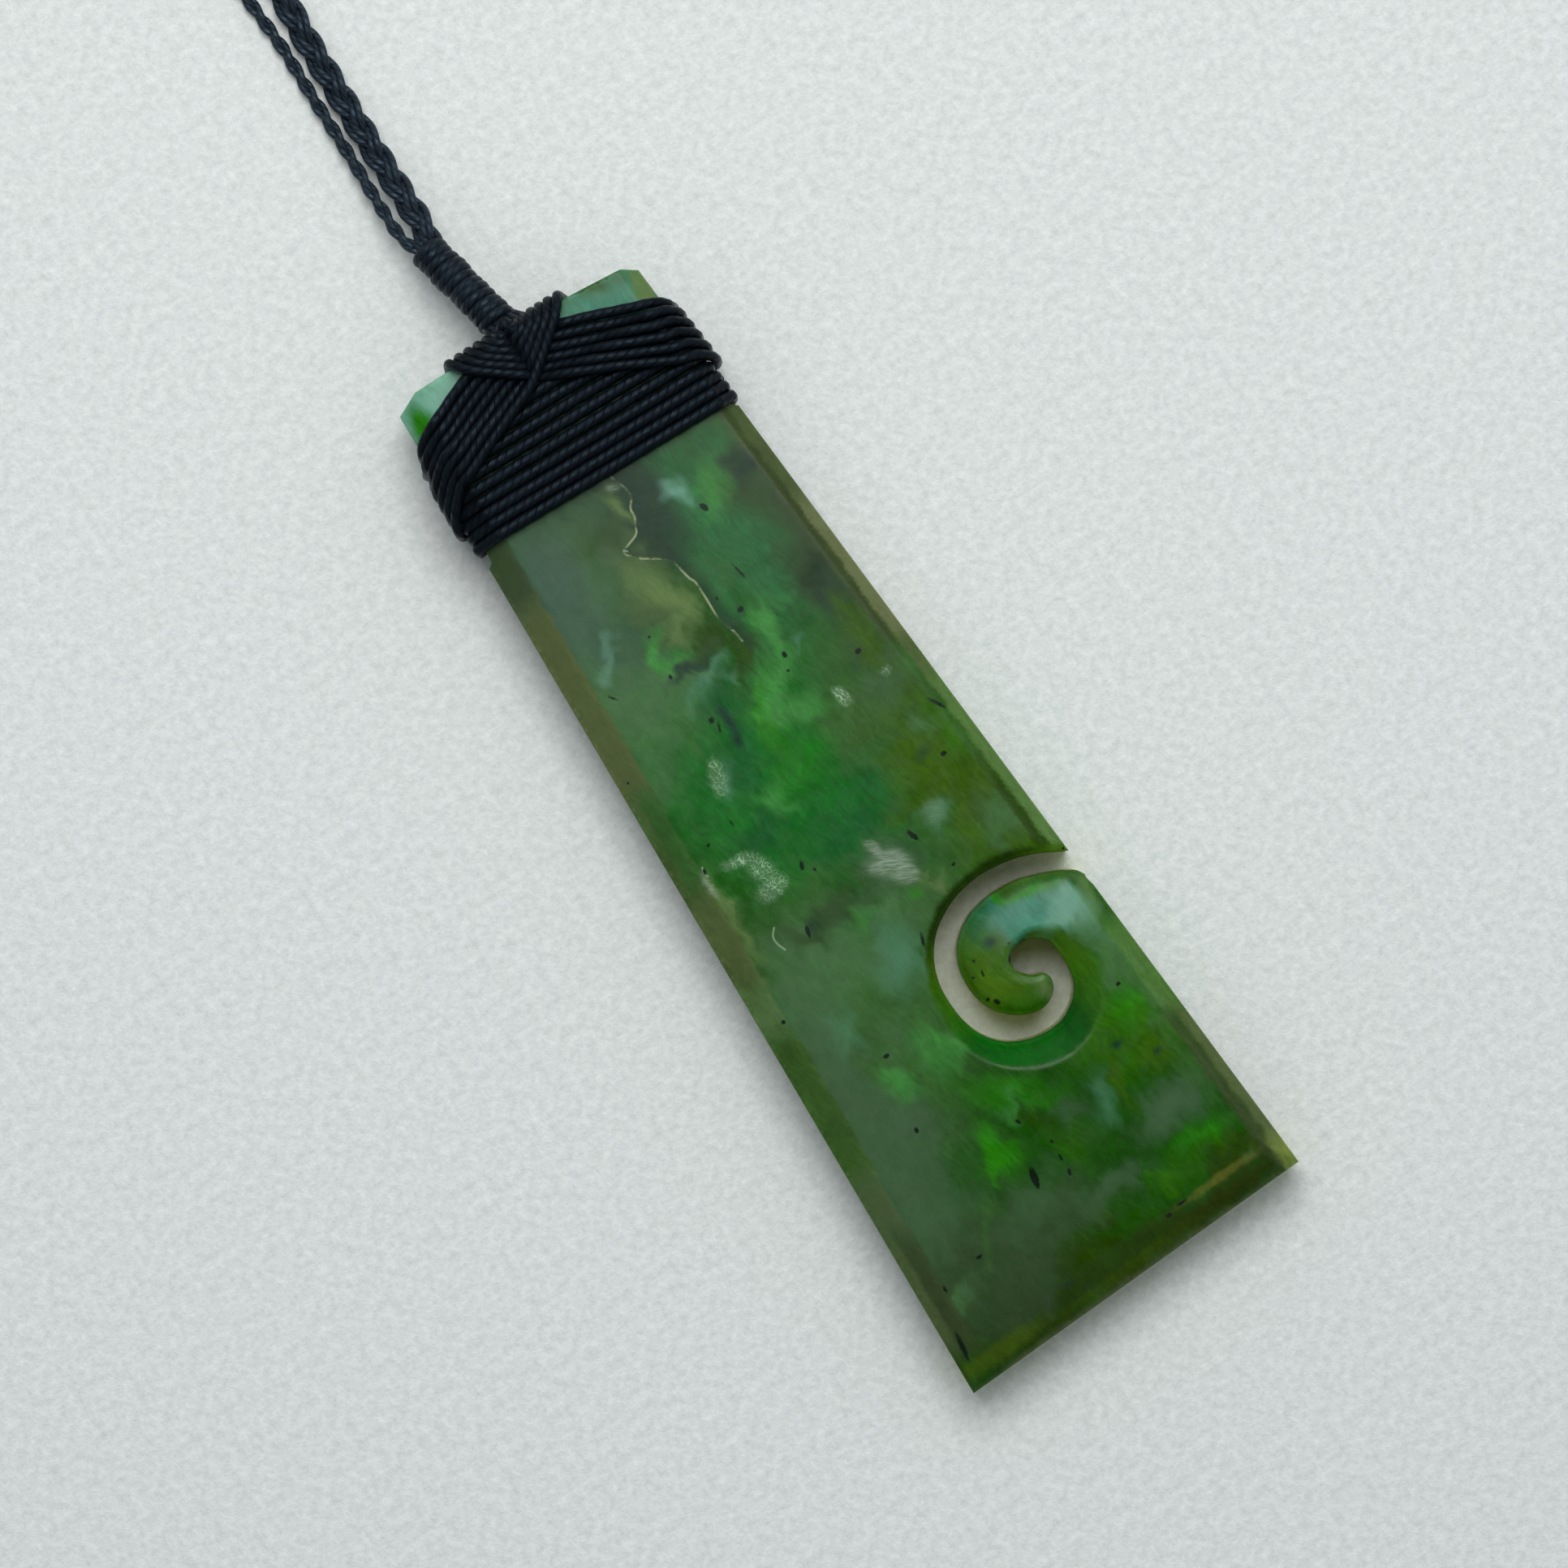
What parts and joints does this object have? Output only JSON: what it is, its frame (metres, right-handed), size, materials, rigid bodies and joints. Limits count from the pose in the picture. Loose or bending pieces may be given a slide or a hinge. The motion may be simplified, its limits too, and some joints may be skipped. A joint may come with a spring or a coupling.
{
  "type": "greenstone adze pendant",
  "caption": "Adze-shaped green stone pendant with a pierced spiral at one edge, lashed with waxed cord at its narrow end and hung on a plaited neck loop.",
  "frame": {"origin": "on the flat back of the stone, at the middle of its length and width", "axes": "+Y along the stone to its narrow, lashed end and on to the neck loop; +Z out of the polished front; +X to the side that the spiral opens on"},
  "size_m": [0.1645, 0.3109, 0.0083],
  "materials": {
    "greenstone": "polished nephrite, satin, slightly translucent",
    "lashing_cord": "waxed twisted thread, near black",
    "plaited_cord": "plaited waxed thread, near black"
  },
  "bodies": {
    "root": {"stone": "greenstone", "straight_wraps": "lashing_cord", "slant_wraps": "lashing_cord", "neck_whipping": "lashing_cord", "thick_plait": "plaited_cord", "thin_plait": "plaited_cord", "loop_join": "lashing_cord"}
  },
  "joints": []
}
